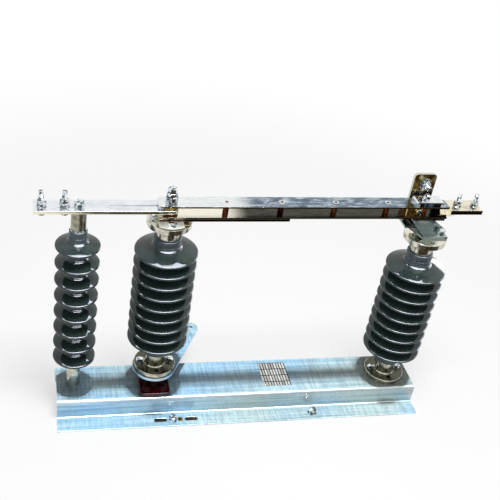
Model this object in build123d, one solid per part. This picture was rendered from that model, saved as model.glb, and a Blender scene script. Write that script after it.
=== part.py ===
from build123d import *
import math
import os

# One pole of a three-post, side-break disconnect switch for outdoor use.
# Millimetres. X runs along the base towards the fixed contact, Y away from the side that the blade
# opens to, Z up. The origin is the centre of the four fixing holes, on the plane that the base stands on.

# Base channel, a hat section bent from sheet
base_past_left_post = 42
base_past_contact_post = 70
base_width = 131
base_height = 55
base_sheet = 3
base_bend = 6
foot_flange = 48
fixing_pitch_x = 376
fixing_pitch_y = 184
fixing_hole = 14
slot_middle_x = -179
slot_pitch = 80
slot_length = 34
slot_width = 12
earth_hole_x = -168
earth_hole = 9

# Axes of the rod insulator and of the turning post
left_post_x = -438
hinge_x = -233

# The two big posts: a steel flange and neck at each end of a shedded rubber body
post_height = 445
contact_post_extra = 10
post_flange = 105
post_foot_thick = 12
post_head_thick = 14
post_flange_bevel = 1
post_boss = 50
post_boss_height = 39
post_neck = 53
post_neck_height = 33
post_weld = 2
post_core = 65
post_sheds = 9
post_shed = 150
post_shed_pitch = 32.3
post_first_shed = 96
post_shed_rim = 6
post_shed_shoulder = 120
post_shed_shoulder_rise = 7.5
post_shed_rise = 11
post_shed_hollow = 9
shed_rim_bevel = 2.5
flange_bolt_circle = 76
flange_bolt_hole = 13

# The rod insulator under the hinge-side terminal
rod_fitting = 35
rod_foot_height = 83
rod_cap_height = 53
rod_core = 42
rod_sheds = 8
rod_shed = 104
rod_shed_pitch = 47.2
rod_first_shed = 97
rod_shed_rim = 7
rod_shed_shoulder = 84
rod_shed_shoulder_rise = 5.5
rod_shed_rise = 8
rod_shed_hollow = 5

# Bearing housing of the turning post, its shaft and its crank
housing_width = 80
housing_depth = 124
housing_plate = 12
housing_corner = 12
housing_edge = 3
housing_hub = 60
housing_hub_foot = 68
housing_height = 48
housing_bolt_x = 42
housing_bolt_y = 86
shaft = 30
shaft_fit = 0.06
thrust_gap = 1
crank_thick = 8
crank_disc = 110
crank_reach = 185
crank_end = 40
crank_angle = 50
crank_pin_hole = 13

# Blade: two straps on spacers, carried by a plate and a bar on the turning post
strap_width = 45
strap_thick = 4
strap_gap = 24
strap_behind_hinge = 31
strap_reach = 671
strap_corner = 12
strap_tip_bevel = 14
drive_plate_width = 56
drive_plate_thick = 5
drive_bar_reach = 278
drive_bar_thick = 7.5
first_spacer = 127.5
last_spacer_to_bolt = 96.5
spacer_count = 4
spacer = 14
contact_sleeve = 16
end_block_to_bolt = 11
end_block_length = 44
end_block_width = 41
end_block_round = 7

# Hinge: bolt, contact rings, disc springs, washer and nut
hinge_bolt = 12
hinge_bolt_fit = 0.08
hinge_bolt_socket = 8
hinge_ring = 34
disc_springs = 5
disc_spring = 28
disc_spring_pitch = 2.5
disc_spring_groove = 3
hinge_washer = 27
hinge_washer_thick = 3
hinge_nut = 22
hinge_nut_height = 9
cap_nut = 19
cap_nut_height = 11

# Sprung pressure plates that squeeze the blade onto the fixed contact
pressure_bolt_to_tip = 54
pressure_bolt = 10
pressure_nut = 16
pressure_nut_height = 8
pressure_head_height = 5
pressure_plate_length = 70
pressure_plate_width = 32
pressure_plate_height = 9.5
pressure_plate_sheet = 3
pressure_plate_foot = 8
pressure_plate_offset = 6

# Terminals
terminal_width = 50
terminal_hole = 13
left_bar_thick = 8
left_bar_past_post = 100
left_bar_past_hinge = 16
left_bar_lift = 9.5
left_bar_corner = 14
left_hole_pitch = 50
left_hole_inset = 18
pad_thick = 11
pad_length = 83
pad_to_tip = 5
pad_drop = 3.5
pad_hole_pitch = 45
pad_hole_inset = 13

# Fixed contact, its bracket on the contact post and the blade's stop
contact_overlap = 23
contact_length = 40
contact_post_behind_tip = 28
contact_front = 27
contact_nose = 9
contact_gap = 0.3
contact_leg_thick = 11
contact_tongue_thick = 11
stop_gap = 5.5
stop_behind_tip = 84
stop_width = 56
stop_thick = 8
stop_above_blade = 61.5
stop_corner = 9
stop_bolt = 12
stop_bolt_drop = 26
stop_bolt_off_middle = 3
stop_bolt_reach = 30
stop_bolt_head = 8
stop_washer = 30
stop_washer_thick = 3
bracket_sheet = 6
bracket_web_y = 10
bracket_foot_left = -17
bracket_foot_right = 48
bracket_foot_front = 22
bracket_foot_back = 51
bracket_web_right = 56
bracket_web_past_stop = 12
bracket_top_left = -72
bracket_shelf_left = -78
bracket_shelf_right = -50
bracket_shelf_front = 30
bracket_shelf_lift = 5
bracket_ledge_margin = 2

# Clearances
seat = 0.3
pressure_plate_clear = 11

# Rating plate on the web
rating_plate_x = 99
rating_plate_y = 5
rating_plate_width = 75
rating_plate_depth = 87
rating_plate_thick = 1

# Places and heights that follow from the sizes above
strap_tip_x = hinge_x + strap_reach
contact_post_x = strap_tip_x - contact_post_behind_tip
base_left = left_post_x - base_past_left_post
base_right = contact_post_x + base_past_contact_post
left_bar_end = left_post_x - left_bar_past_post
contact_left = strap_tip_x - contact_overlap
pad_start = strap_tip_x + pad_to_tip
pad_end = pad_start + pad_length
stop_left = strap_tip_x - stop_behind_tip
pressure_bolt_at = strap_reach - pressure_bolt_to_tip
spacer_pitch = (pressure_bolt_at - last_spacer_to_bolt - first_spacer) / (spacer_count - 1)
crank_bottom = base_height + housing_height + thrust_gap
rotor_post_bottom = crank_bottom + crank_thick
rotor_post_top = rotor_post_bottom + post_height
contact_post_height = post_height + contact_post_extra
contact_post_top = base_height + contact_post_height
drive_bar_bottom = rotor_post_top + drive_plate_thick
lower_strap_bottom = drive_bar_bottom + drive_bar_thick
lower_strap_top = lower_strap_bottom + strap_thick
upper_strap_bottom = lower_strap_top + strap_gap
upper_strap_top = upper_strap_bottom + strap_thick
left_bar_bottom = lower_strap_top + left_bar_lift
left_bar_top = left_bar_bottom + left_bar_thick
pad_top = upper_strap_bottom - pad_drop
stop_y = strap_width / 2 + stop_gap
ledge_top = lower_strap_bottom - pressure_plate_height - pressure_plate_clear
stop_top = upper_strap_top + stop_above_blade
stop_bolt_x = stop_left + stop_width / 2 + stop_bolt_off_middle
stop_bolt_z = stop_top - stop_bolt_drop


def cylinder(diameter, height, bottom=0, x=0, y=0):
    return Pos(x, y, bottom) * Cylinder(diameter / 2, height, align=(Align.CENTER, Align.CENTER, Align.MIN))


def cylinder_along_y(diameter, front, back, x, z):
    return Pos(x, front, z) * Rot(-90, 0, 0) * cylinder(diameter, back - front)


def hexagon(across_flats, height, bottom=0):
    return Pos(0, 0, bottom) * extrude(RegularPolygon(across_flats / math.sqrt(3), 6), height)


def plate(outline, thick, bottom):
    return Pos(0, 0, bottom) * extrude(outline, thick)


def rectangle(left, right, front, back):
    return Pos((left + right) / 2, (front + back) / 2) * Rectangle(right - left, back - front)


def upright(points, front, thick):
    """Plate standing in the XZ plane, from its front face backwards."""
    return extrude(Plane.XZ.offset(-front) * make_face(Polyline(*points, close=True)), -thick)


def round_corners(face, radius, wanted):
    return fillet([corner for corner in face.vertices() if wanted(corner)], radius)


def revolved(points):
    return revolve(Plane.XZ * make_face(Polyline(*points, close=True)), Axis.Z)


def base_channel():
    wall = base_width / 2
    inner = wall - base_sheet
    outer = wall + foot_flange
    right = [(outer, 0), (outer, base_sheet), (wall, base_sheet), (wall, base_height)]
    hollow = [(inner, base_height - base_sheet), (inner, 0)]
    left = [(-y, z) for y, z in reversed(right)]
    points = right + left + [(-y, z) for y, z in reversed(hollow)] + hollow
    section = make_face(Polyline(*points, close=True))
    inside = base_bend - base_sheet
    section = round_corners(section, base_bend, lambda v: abs(v.Y - base_height) < 0.1)
    section = round_corners(section, base_bend, lambda v: abs(v.Y) < 0.1 and abs(abs(v.X) - inner) < 0.1)
    section = round_corners(section, inside, lambda v: abs(v.Y - base_sheet) < 0.1 and abs(v.X) < outer - 1)
    section = round_corners(section, inside, lambda v: abs(v.Y - base_height + base_sheet) < 0.1)
    channel = extrude(Plane.YZ.offset(base_left) * section, base_right - base_left)
    for y in (-fixing_pitch_y / 2, fixing_pitch_y / 2):
        for x in (-fixing_pitch_x / 2, fixing_pitch_x / 2):
            channel -= cylinder(fixing_hole, base_sheet, 0, x, y)
        for x in (slot_middle_x - slot_pitch / 2, slot_middle_x + slot_pitch / 2):
            channel -= Pos(x, y, 0) * extrude(SlotOverall(slot_length, slot_width), base_sheet)
        channel -= cylinder(earth_hole, base_sheet, 0, earth_hole_x, y)
    return channel


def rating_plate():
    outline = Pos(rating_plate_x, rating_plate_y) * Rectangle(rating_plate_width, rating_plate_depth)
    return plate(outline, rating_plate_thick, base_height)


def shed_section(core, low, shed, rim, shoulder, shoulder_rise, rise, hollow):
    """Section of one shed, from below: hollow underside, rim bevelled above, domed top."""
    bevel = shed_rim_bevel
    high = low + rim
    return [(core / 2, low + hollow), (shed / 2, low), (shed / 2, high - bevel), (shed / 2 - bevel, high),
            (shoulder / 2, high + shoulder_rise), (core / 2, high + rise)]


def shedded_body(core, bottom, top, sheds):
    """Rubber body turned from one outline that climbs its core over every shed."""
    points = [(0, bottom), (core / 2, bottom)]
    for section in sheds:
        points += section
    points += [(core / 2, top), (0, top)]
    return revolved(points)


def post_end(thick, neck, neck_height):
    """Flange with its four bolt holes, the neck above it and the weld between, standing on z = 0."""
    flange = cylinder(post_flange, thick)
    flange = chamfer(flange.edges().filter_by(GeomType.CIRCLE), post_flange_bevel)
    weld = Cone(neck / 2 + post_weld, neck / 2, post_weld, align=(Align.CENTER, Align.CENTER, Align.MIN))
    solid = flange + cylinder(neck, neck_height, thick) + Pos(0, 0, thick) * weld
    reach = flange_bolt_circle / 2
    for x, y in ((reach, 0), (0, reach), (-reach, 0), (0, -reach)):
        solid -= cylinder(flange_bolt_hole, thick, 0, x, y)
    return solid


def big_post(height):
    """Foot, shedded body and head of one post that stands on z = 0."""
    foot = post_end(post_foot_thick, post_boss, post_boss_height)
    head = Pos(0, 0, height) * Rot(180, 0, 0) * post_end(post_head_thick, post_neck, post_neck_height)
    bottom = post_foot_thick + post_boss_height
    top = height - post_head_thick - post_neck_height
    sheds = [shed_section(post_core, post_first_shed + i * post_shed_pitch, post_shed, post_shed_rim,
                          post_shed_shoulder, post_shed_shoulder_rise, post_shed_rise, post_shed_hollow)
             for i in range(post_sheds)]
    return foot, shedded_body(post_core, bottom, top, sheds), head


def rod_post():
    """Foot, shedded body and cap of the rod insulator that stands on z = 0."""
    height = left_bar_bottom - base_height
    foot = cylinder(rod_fitting, rod_foot_height)
    cap = cylinder(rod_fitting, rod_cap_height, height - rod_cap_height)
    sheds = [shed_section(rod_core, rod_first_shed + i * rod_shed_pitch, rod_shed, rod_shed_rim,
                          rod_shed_shoulder, rod_shed_shoulder_rise, rod_shed_rise, rod_shed_hollow)
             for i in range(rod_sheds)]
    return foot, shedded_body(rod_core, rod_foot_height, height - rod_cap_height, sheds), cap


def left_terminal_bar():
    right = hinge_x + left_bar_past_hinge
    outline = rectangle(left_bar_end, right, -terminal_width / 2, terminal_width / 2)
    outline = round_corners(outline, left_bar_corner, lambda v: v.X > hinge_x)
    bar = plate(outline, left_bar_thick, left_bar_bottom)
    first = left_bar_end + left_hole_inset
    for x in (first, first + left_hole_pitch, left_post_x):
        bar -= cylinder(terminal_hole, left_bar_thick, left_bar_bottom, x)
    return bar - cylinder(hinge_bolt + 2 * hinge_bolt_fit, left_bar_thick, left_bar_bottom, hinge_x)


def bearing_housing():
    """Low rounded foot plate with a tapered hub, bored for the shaft."""
    foot = extrude(RectangleRounded(housing_width, housing_depth, housing_corner), housing_plate)
    foot = fillet(foot.edges().group_by(Axis.Z)[-1], housing_edge)
    hub = revolved([(0, 0), (housing_hub_foot / 2, 0), (housing_hub_foot / 2, housing_plate),
                    (housing_hub / 2, housing_height), (0, housing_height)])
    solid = foot + hub - cylinder(shaft + 2 * shaft_fit, housing_height)
    for x in (-housing_bolt_x / 2, housing_bolt_x / 2):
        for y in (-housing_bolt_y / 2, housing_bolt_y / 2):
            solid -= cylinder(flange_bolt_hole, housing_plate, 0, x, y)
    return solid


def crank_lever():
    """Disc under the turning post that tapers to a rounded end with the drive rod's hole."""
    angle = math.radians(crank_angle)
    x = crank_reach * math.cos(angle)
    y = crank_reach * math.sin(angle)
    disc = Circle(crank_disc / 2)
    end = Pos(x, y) * Circle(crank_end / 2)
    lever = plate(make_hull([*disc.edges(), *end.edges()]), crank_thick, crank_bottom)
    return lever - cylinder(crank_pin_hole, crank_thick, crank_bottom, x, y)


def drive_plate():
    outline = Circle(post_flange / 2) & Rectangle(drive_plate_width, post_flange)
    solid = plate(outline, drive_plate_thick, rotor_post_top)
    for y in (-flange_bolt_circle / 2, flange_bolt_circle / 2):
        solid -= cylinder(flange_bolt_hole, drive_plate_thick, rotor_post_top, 0, y)
    return solid - cylinder(hinge_bolt + 2 * seat, drive_plate_thick, rotor_post_top)


def drive_bar():
    outline = rectangle(-drive_plate_width / 2, drive_bar_reach, -strap_width / 2, strap_width / 2)
    bar = plate(outline, drive_bar_thick, drive_bar_bottom)
    return bar - cylinder(hinge_bolt + 2 * seat, drive_bar_thick, drive_bar_bottom)


def blade_strap(bottom):
    half = strap_width / 2
    outline = rectangle(-strap_behind_hinge, strap_reach, -half, half)
    outline = round_corners(outline, strap_corner, lambda v: v.X < 0)
    outline = chamfer([v for v in outline.vertices() if v.X > strap_reach - 1 and v.Y > 0], strap_tip_bevel)
    strap = plate(outline, strap_thick, bottom)
    strap -= cylinder(hinge_bolt + 2 * seat, strap_thick, bottom)
    return strap - cylinder(pressure_bolt + 2 * seat, strap_thick, bottom, pressure_bolt_at)


def blade_end_block():
    """Brass block that keeps the straps apart beside the contact, with its vertical edges rounded."""
    right = pressure_bolt_at - end_block_to_bolt
    outline = rectangle(right - end_block_length, right, -end_block_width / 2, end_block_width / 2)
    return plate(fillet(outline.vertices(), end_block_round), strap_gap, lower_strap_top)


def hinge_pieces():
    """Bolt, lower and upper contact ring, disc springs, washer and nut, around the hinge axis."""
    hole = cylinder(hinge_bolt + 2 * seat, upper_strap_top, 0)
    lower_ring = cylinder(hinge_ring, left_bar_lift - seat, lower_strap_top) - hole
    upper_ring_bottom = left_bar_top + seat
    upper_ring = cylinder(hinge_ring, upper_strap_bottom - upper_ring_bottom, upper_ring_bottom) - hole
    spring_top = upper_strap_top + disc_springs * disc_spring_pitch
    bore = hinge_bolt / 2 + seat
    points = [(bore, upper_strap_top)]
    for i in range(disc_springs):
        low = upper_strap_top + i * disc_spring_pitch
        points.append((disc_spring / 2 - disc_spring_groove, low))
        points.append((disc_spring / 2, low + disc_spring_pitch * 0.3))
        points.append((disc_spring / 2, low + disc_spring_pitch * 0.7))
    points += [(disc_spring / 2 - disc_spring_groove, spring_top), (bore, spring_top)]
    springs = revolved(points)
    over = cylinder(hinge_bolt + 2 * seat, hinge_washer_thick + hinge_nut_height, spring_top)
    washer = cylinder(hinge_washer, hinge_washer_thick, spring_top) - over
    nut = hexagon(hinge_nut, hinge_nut_height, spring_top + hinge_washer_thick) - over
    nut_top = spring_top + hinge_washer_thick + hinge_nut_height
    bolt_bottom = rotor_post_top - hinge_bolt_socket + seat
    bolt = cylinder(hinge_bolt, nut_top - bolt_bottom, bolt_bottom) + hexagon(cap_nut, cap_nut_height, nut_top)
    return bolt, lower_ring, upper_ring, springs, washer, nut


def pressure_plate():
    """Bridge plate standing on z = 0 on its two end legs, drilled off its middle."""
    half = pressure_plate_length / 2
    top = pressure_plate_height
    sheet = pressure_plate_sheet
    foot = half - pressure_plate_foot
    points = [(-half, 0), (-half, top - sheet), (-half + sheet, top), (half - sheet, top), (half, top - sheet),
              (half, 0), (foot, 0), (foot, top - sheet), (-foot, top - sheet), (-foot, 0)]
    bridge = upright(points, -pressure_plate_width / 2, pressure_plate_width)
    return bridge - cylinder(pressure_bolt + 2 * seat, top, 0, -pressure_plate_offset)


def pressure_bolt_solid():
    bottom = lower_strap_bottom - pressure_plate_height
    top = upper_strap_top + pressure_plate_height
    shank = cylinder(pressure_bolt, top - bottom + pressure_nut_height, bottom)
    nut = hexagon(pressure_nut, pressure_nut_height, top)
    head = hexagon(pressure_nut, pressure_head_height, bottom - pressure_head_height)
    return shank + nut + head


def contact_block():
    """Nose between the straps, a step for the pad, and a leg behind the blade down to the bracket."""
    low = lower_strap_top + contact_gap
    high = upper_strap_bottom - contact_gap
    back = strap_width / 2
    middle = (low + high) / 2
    leg_back = stop_y + contact_leg_thick
    tongue_top = low + contact_tongue_thick
    shoulder = -contact_front + contact_nose
    points = [(-contact_front, middle), (shoulder, low), (stop_y, low), (stop_y, ledge_top),
              (leg_back, ledge_top), (leg_back, tongue_top), (back, tongue_top), (back, high),
              (shoulder, high)]
    section = Plane.YZ.offset(contact_left) * make_face(Polyline(*points, close=True))
    block = extrude(section, contact_length)
    right = contact_left + contact_length
    step = rectangle(pad_start, right, -contact_front, leg_back)
    return block - plate(step, high - pad_top + pad_thick, pad_top - pad_thick)


def right_terminal_pad():
    outline = rectangle(pad_start, pad_end, -terminal_width / 2, terminal_width / 2)
    pad = plate(outline, pad_thick, pad_top - pad_thick)
    last = pad_end - pad_hole_inset
    for x in (last - pad_hole_pitch, last):
        pad -= cylinder(terminal_hole, pad_thick, pad_top - pad_thick, x)
    return pad


def stop_plate():
    outline = rectangle(stop_left, stop_left + stop_width, ledge_top, stop_top)
    outline = round_corners(outline, stop_corner, lambda v: v.Y > ledge_top + 1)
    plate_solid = extrude(Plane.XZ.offset(-stop_y) * outline, -stop_thick)
    hole = cylinder_along_y(stop_bolt + 2 * seat, stop_y, stop_y + stop_thick, stop_bolt_x, stop_bolt_z)
    return plate_solid - hole


def stop_bolt_solid():
    """Bolt through the stop plate: washer and nut in front, washer and head behind."""
    back = stop_y + stop_thick
    far_washer = back + stop_washer_thick
    shank = cylinder_along_y(stop_bolt, stop_y - stop_bolt_reach, far_washer, stop_bolt_x, stop_bolt_z)
    for face in (stop_y - stop_washer_thick, back):
        shank += cylinder_along_y(stop_washer, face, face + stop_washer_thick, stop_bolt_x, stop_bolt_z)
    for face in (stop_y - stop_washer_thick, far_washer + stop_bolt_head):
        turned = Pos(stop_bolt_x, face, stop_bolt_z) * Rot(90, 0, 0)
        shank += turned * hexagon(cap_nut, stop_bolt_head)
    return shank


def contact_bracket():
    """Foot, sloping web, folded left side with its shelf, and the ledge behind the blade."""
    foot_z = contact_post_top
    sheet = bracket_sheet
    foot_left = contact_post_x + bracket_foot_left
    web_right = contact_post_x + bracket_web_right
    top_left = contact_post_x + bracket_top_left
    web_points = [(foot_left, foot_z), (web_right, foot_z), (web_right, foot_z + sheet),
                  (stop_left + stop_width + bracket_web_past_stop, ledge_top), (top_left, ledge_top)]
    bracket = upright(web_points, bracket_web_y, sheet)
    foot = rectangle(foot_left, contact_post_x + bracket_foot_right, -bracket_foot_front, bracket_foot_back)
    bracket += plate(foot, sheet, foot_z)
    side_points = [(foot_left, foot_z), (foot_left + sheet, foot_z), (top_left + sheet, ledge_top),
                   (top_left, ledge_top)]
    web_back = bracket_web_y + sheet
    bracket += upright(side_points, -bracket_foot_front, bracket_foot_front + web_back)
    shelf = rectangle(contact_post_x + bracket_shelf_left, contact_post_x + bracket_shelf_right,
                      -bracket_shelf_front, web_back)
    bracket += plate(shelf, bracket_shelf_lift, ledge_top)
    ledge_back = stop_y + contact_leg_thick + bracket_ledge_margin
    ledge = rectangle(top_left, contact_left + contact_length, bracket_web_y, ledge_back)
    bracket += plate(ledge, sheet, ledge_top - sheet)
    reach = flange_bolt_circle / 2
    for x, y in ((reach, 0), (0, reach)):
        bracket -= cylinder(flange_bolt_hole, sheet, foot_z, contact_post_x + x, y)
    return bracket


on_hinge = Pos(hinge_x, 0, 0)
parts = {}
parts["base_channel"] = base_channel()
parts["rating_plate"] = rating_plate()
for name, solid in zip(("foot", "sheds", "cap"), rod_post()):
    parts[f"left_post_{name}"] = Pos(left_post_x, 0, base_height) * solid
parts["left_terminal_bar"] = left_terminal_bar()
parts["bearing_housing"] = Pos(hinge_x, 0, base_height) * bearing_housing()
for name, solid in zip(("foot", "sheds", "head"), big_post(post_height)):
    parts[f"rotor_post_{name}"] = Pos(hinge_x, 0, rotor_post_bottom) * solid
for name, solid in zip(("foot", "sheds", "head"), big_post(contact_post_height)):
    parts[f"contact_post_{name}"] = Pos(contact_post_x, 0, base_height) * solid
parts["rotor_post_head"] -= cylinder(hinge_bolt + 2 * seat, hinge_bolt_socket,
                                     rotor_post_top - hinge_bolt_socket, hinge_x)
parts["contact_bracket"] = contact_bracket()
parts["stop_plate"] = stop_plate()
parts["stop_bolt"] = stop_bolt_solid()
parts["contact_block"] = contact_block()
parts["right_terminal_pad"] = right_terminal_pad()

turning = {}
turning["rotor_shaft"] = cylinder(shaft, housing_height, base_height + thrust_gap)
turning["crank_lever"] = crank_lever()
turning["drive_plate"] = drive_plate()
turning["drive_bar"] = drive_bar()
turning["lower_blade_strap"] = blade_strap(lower_strap_bottom)
turning["upper_blade_strap"] = blade_strap(upper_strap_bottom)
for i in range(spacer_count):
    x = first_spacer + i * spacer_pitch
    turning[f"blade_spacer_{i + 1}"] = cylinder(spacer, strap_gap, lower_strap_top, x)
sleeve = cylinder(contact_sleeve, strap_gap, lower_strap_top, pressure_bolt_at)
sleeve -= cylinder(pressure_bolt + 2 * seat, strap_gap, lower_strap_top, pressure_bolt_at)
turning["contact_spacer"] = sleeve
turning["blade_end_block"] = blade_end_block()
hinge_names = ("hinge_bolt", "lower_hinge_ring", "upper_hinge_ring",
               "hinge_springs", "hinge_washer", "hinge_nut")
turning.update(zip(hinge_names, hinge_pieces()))
plate_x = pressure_bolt_at + pressure_plate_offset
turning["upper_pressure_plate"] = Pos(plate_x, 0, upper_strap_top) * pressure_plate()
turning["lower_pressure_plate"] = Pos(plate_x, 0, lower_strap_bottom) * mirror(pressure_plate(), Plane.XY)
turning["pressure_bolt"] = Pos(pressure_bolt_at, 0, 0) * pressure_bolt_solid()
for name, solid in turning.items():
    parts[name] = on_hinge * solid

os.makedirs("parts", exist_ok=True)
for name, solid in parts.items():
    export_step(solid, f"parts/{name}.step")
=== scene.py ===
import math

import bmesh
import bpy
from mathutils import Matrix, Vector


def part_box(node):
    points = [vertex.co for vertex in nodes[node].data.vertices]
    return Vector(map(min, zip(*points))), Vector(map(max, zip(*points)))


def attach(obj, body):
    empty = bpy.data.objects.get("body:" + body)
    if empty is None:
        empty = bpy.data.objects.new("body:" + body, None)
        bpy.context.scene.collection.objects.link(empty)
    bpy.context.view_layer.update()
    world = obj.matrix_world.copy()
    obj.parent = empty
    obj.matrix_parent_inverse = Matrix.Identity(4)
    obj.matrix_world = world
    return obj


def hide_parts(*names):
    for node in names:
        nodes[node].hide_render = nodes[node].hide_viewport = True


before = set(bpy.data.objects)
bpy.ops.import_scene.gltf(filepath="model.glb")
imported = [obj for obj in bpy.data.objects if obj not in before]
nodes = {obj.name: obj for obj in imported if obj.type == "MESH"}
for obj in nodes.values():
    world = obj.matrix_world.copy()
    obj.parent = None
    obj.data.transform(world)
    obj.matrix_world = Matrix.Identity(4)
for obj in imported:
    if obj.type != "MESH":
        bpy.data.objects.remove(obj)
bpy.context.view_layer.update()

print("frame loaded,", len(nodes), "nodes")

mm = 0.001


# Small helpers

def fromHex(code):  # sRGB hex to the linear colour that Blender's sockets take
    parts = [int(code[i:i + 2], 16) / 255 for i in (1, 3, 5)]
    return [p / 12.92 if p <= 0.04045 else ((p + 0.055) / 1.055) ** 2.4 for p in parts] + [1]


def addNode(tree, kind, settings=None, links=None):
    # settings go to input sockets or to the node's own properties, a colour may be sRGB hex;
    # links are input: source, and a node given as source stands for its first output in use
    node = tree.nodes.new(kind)
    for name, value in (settings or {}).items():
        if name == "stops":
            ramp = node.color_ramp.elements
            while len(ramp) < len(value):
                ramp.new(0.5)
            for stop, (place, colour) in zip(ramp, value):
                stop.position = place
                stop.color = fromHex(colour)
        elif isinstance(name, int) or name in node.inputs:
            node.inputs[name].default_value = fromHex(value) if isinstance(value, str) else value
        else:
            setattr(node, name, value)
    for name, source in (links or {}).items():
        if isinstance(source, bpy.types.Node):
            source = next(output for output in source.outputs if output.enabled)
        tree.links.new(source, node.inputs[name])
    return node


def newMaterial(name):
    material = bpy.data.materials.new(name)
    material.use_nodes = True
    tree = material.node_tree
    tree.nodes.clear()
    return material, tree, addNode(tree, "ShaderNodeTexCoord").outputs["Object"]


def facingShare(tree, axis, start=0.55, end=0.85):
    # 1 on the faces that look along the given axis, either way, else 0
    normal = addNode(tree, "ShaderNodeTexCoord").outputs["Normal"]
    parts = addNode(tree, "ShaderNodeSeparateXYZ", {}, {0: normal})
    along = addNode(tree, "ShaderNodeMath", {"operation": "ABSOLUTE"}, {0: parts.outputs[axis]})
    return addNode(tree, "ShaderNodeMapRange", {"From Min": start, "From Max": end}, {"Value": along})


def alongX(tree, place, start, end):
    # 0 before start and 1 past end, in metres along the object
    parts = addNode(tree, "ShaderNodeSeparateXYZ", {}, {0: place})
    return addNode(tree, "ShaderNodeMapRange", {"interpolation_type": "SMOOTHSTEP", "From Min": start,
                                                "From Max": end}, {"Value": parts.outputs["X"]})


def sceneObject(name, data):
    thing = bpy.data.objects.new(name, data)
    bpy.context.scene.collection.objects.link(thing)
    return thing


def sceneMesh(name, mesh, material):
    data = bpy.data.meshes.new(name)
    mesh.to_mesh(data)
    mesh.free()
    data.materials.append(material)
    return sceneObject(name, data)


# Materials; a pattern that is longer one way has its size along X, Y and Z

def galvanisedSheet(name, films, paintedLevelTones, rough, levelRough):
    # Hot-dip galvanised steel sheet, new: soft bright reflections, blue-white film, faint spangle, drain streaks.
    # The level faces take their own tones, painted light and shade, and carry brush marks across the sheet.
    sizes = {"spangle": 6 * mm, "streak": (260 * mm, 9 * mm, 9 * mm), "wave": 80 * mm, "film": 260 * mm,
             "brush": (5 * mm, 70 * mm, 70 * mm)}
    shares = {"spangle": 0.6, "streak": 0.45, "brush": 0.34, "streakGloss": 0.1}
    filmStops = (0.38, 0.5, 0.64)
    material, tree, place = newMaterial(name)
    cells = addNode(tree, "ShaderNodeTexVoronoi", {"Scale": 1 / sizes["spangle"]}, {"Vector": place})
    drained = addNode(tree, "ShaderNodeMapping", {"Scale": [1 / s for s in sizes["streak"]]}, {"Vector": place})
    streaks = addNode(tree, "ShaderNodeTexNoise", {"Scale": 1.0, "Detail": 5.0, "Roughness": 0.65},
                      {"Vector": drained})
    clouds = addNode(tree, "ShaderNodeTexNoise", {"Scale": 1 / sizes["wave"], "Detail": 3.0}, {"Vector": place})
    film = addNode(tree, "ShaderNodeTexNoise", {"Scale": 1 / sizes["film"], "Detail": 2.0}, {"Vector": place})
    # painted light and shade: the level faces get their own copy of the colour, lighter or darker
    filmTone, paintedLevelTone = [addNode(tree, "ShaderNodeValToRGB", {"stops": list(zip(filmStops, tones))},
                                   {"Fac": film}) for tones in (films, paintedLevelTones)]
    level = facingShare(tree, "Z", start=0.93, end=0.99)
    paintedFaceTone = addNode(tree, "ShaderNodeMix", {"data_type": "RGBA"}, {0: level, 6: filmTone, 7: paintedLevelTone})
    spangleTone = addNode(tree, "ShaderNodeValToRGB", {"stops": [(0.0, "#dde5ea"), (1.0, "#ffffff")]},
                          {"Fac": cells.outputs["Color"]})
    streakTone = addNode(tree, "ShaderNodeValToRGB", {"stops": [(0.36, "#7f97a8"), (0.56, "#ffffff")]},
                         {"Fac": streaks})
    sheen = addNode(tree, "ShaderNodeMix", {"data_type": "RGBA", "blend_type": "MULTIPLY", 0: shares["spangle"]},
                    {6: paintedFaceTone, 7: spangleTone})
    colour = addNode(tree, "ShaderNodeMix", {"data_type": "RGBA", "blend_type": "MULTIPLY", 0: shares["streak"]},
                     {6: sheen, 7: streakTone})
    gloss = addNode(tree, "ShaderNodeMapRange", {"To Min": rough, "To Max": levelRough}, {"Value": level})
    across = addNode(tree, "ShaderNodeMapping", {"Scale": [1 / s for s in sizes["brush"]]}, {"Vector": place})
    brush = addNode(tree, "ShaderNodeTexNoise", {"Scale": 1.0, "Detail": 4.0, "Roughness": 0.6},
                    {"Vector": across})
    brushTone = addNode(tree, "ShaderNodeValToRGB", {"stops": [(0.38, "#8198aa"), (0.58, "#ffffff")]},
                        {"Fac": brush})
    brushShare = addNode(tree, "ShaderNodeMath", {"operation": "MULTIPLY", 1: shares["brush"]}, {0: level})
    brushed = addNode(tree, "ShaderNodeMix", {"data_type": "RGBA", "blend_type": "MULTIPLY"},
                      {0: brushShare, 6: colour, 7: brushTone})
    polish = addNode(tree, "ShaderNodeMath", {"operation": "MULTIPLY_ADD", 1: shares["streakGloss"]},
                     {0: streaks, 2: gloss})
    lumps = addNode(tree, "ShaderNodeBump", {"Strength": 0.35, "Distance": 0.3 * mm}, {"Height": clouds})
    grain = addNode(tree, "ShaderNodeBump", {"Strength": 0.25, "Distance": 0.02 * mm},
                    {"Height": cells, "Normal": lumps})
    shader = addNode(tree, "ShaderNodeBsdfPrincipled", {"Metallic": 1.0},
                     {"Base Color": brushed, "Roughness": polish, "Normal": grain})
    addNode(tree, "ShaderNodeOutputMaterial", {}, {"Surface": shader})
    return material


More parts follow.
